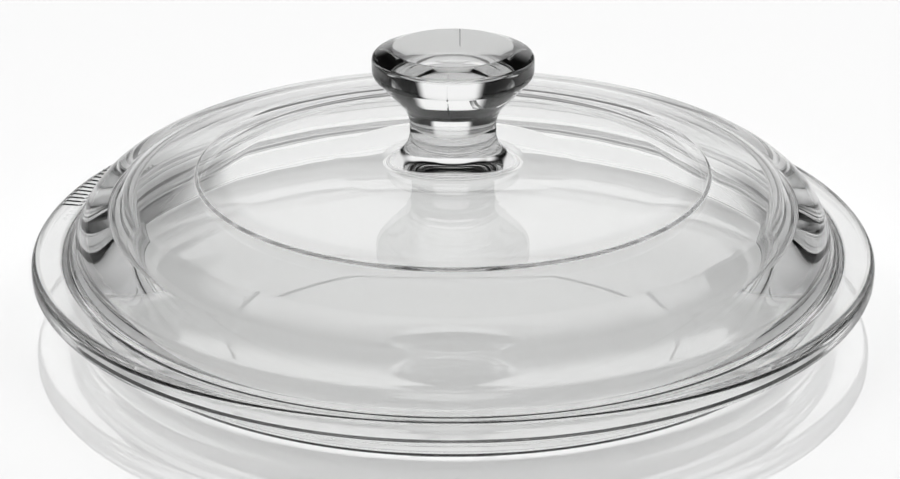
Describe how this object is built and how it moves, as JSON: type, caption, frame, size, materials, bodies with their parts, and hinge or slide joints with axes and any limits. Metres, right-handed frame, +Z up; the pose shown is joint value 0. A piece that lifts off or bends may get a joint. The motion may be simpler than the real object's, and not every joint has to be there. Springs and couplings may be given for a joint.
{
  "type": "glass casserole lid",
  "caption": "Clear pressed-glass domed lid with a flat flange, a locating lip and a solid glass knob, for covering a round baking dish.",
  "frame": {"origin": "on the lid's axis in the plane of the lip's base, which stands on the table", "axes": "+Z up the axis of revolution through the knob, +X to the right and +Y away from the viewer in the picture"},
  "size_m": [0.222, 0.222, 0.0673],
  "materials": {
    "lid_glass": "clear colourless pressed glass, fire polished, with faint pressing waves",
    "knob_glass": "clear colourless solid pressed glass, fire polished, with a faint mould seam"
  },
  "bodies": {
    "root": {"lid_body": "lid_glass", "knob": "knob_glass"}
  },
  "joints": []
}
